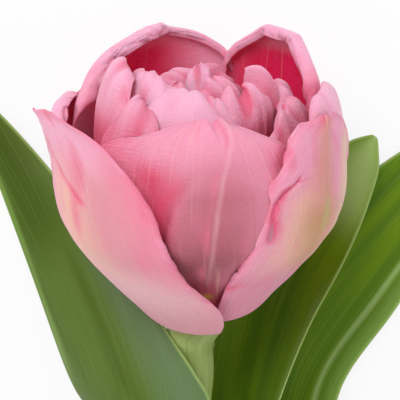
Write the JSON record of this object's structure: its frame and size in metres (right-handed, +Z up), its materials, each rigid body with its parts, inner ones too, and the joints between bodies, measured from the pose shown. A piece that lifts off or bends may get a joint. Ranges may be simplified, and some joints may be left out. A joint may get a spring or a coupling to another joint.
{
  "type": "double tulip flower",
  "caption": "Cut double tulip lying on its back: cupped pink bloom of nested petals, green stem and clasping leaves.",
  "frame": {"origin": "middle of the box that the lying flower fills, on the table it lies on", "axes": "+Z up from the table, +Y along the stem towards the bloom, +X to the bloom's right as its front is seen from above"},
  "size_m": [0.1108, 0.2783, 0.0564],
  "materials": {
    "petal_outer": "satin petal, pink with a cream midrib and fine lengthwise veins",
    "petal_inner": "satin petal, pink at the tip and crimson in the shade of the cup",
    "leaf": "waxy green leaf with parallel veins and a pale bloom",
    "stem": "waxy pale green stalk",
    "stamen": "matt pollen-covered anther on a pale filament",
    "pistil": "satin pale green ovary"
  },
  "bodies": {
    "root": {"leaf_left": "leaf", "leaf_right_lower": "leaf", "leaf_right_upper": "leaf", "petal_heart_back": "petal_inner", "petal_heart_cap": "petal_inner", "petal_heart_left": "petal_inner", "petal_heart_right": "petal_inner", "petal_inner_back_left": "petal_inner", "petal_inner_back_right": "petal_inner", "petal_inner_back_small": "petal_inner", "petal_inner_front": "petal_inner", "petal_inner_front_small": "petal_inner", "petal_inner_left": "petal_inner", "petal_inner_left_fold": "petal_inner", "petal_inner_left_low": "petal_inner", "petal_inner_left_tall": "petal_inner", "petal_inner_right_broad": "petal_inner", "petal_inner_right_edge": "petal_inner", "petal_inner_right_hook": "petal_inner", "petal_inner_right_low": "petal_inner", "petal_inner_right_side": "petal_inner", "petal_middle_front": "petal_outer", "petal_middle_left": "petal_outer", "petal_middle_right": "petal_outer", "petal_outer_back": "petal_outer", "petal_outer_left": "petal_outer", "petal_outer_right": "petal_outer", "petal_tall_back_left": "petal_inner", "petal_tall_back_right": "petal_inner", "pistil": "pistil", "stamen_1": "stamen", "stamen_2": "stamen", "stamen_3": "stamen", "stamen_4": "stamen", "stamen_5": "stamen", "stamen_6": "stamen", "stem": "stem"}
  },
  "joints": []
}
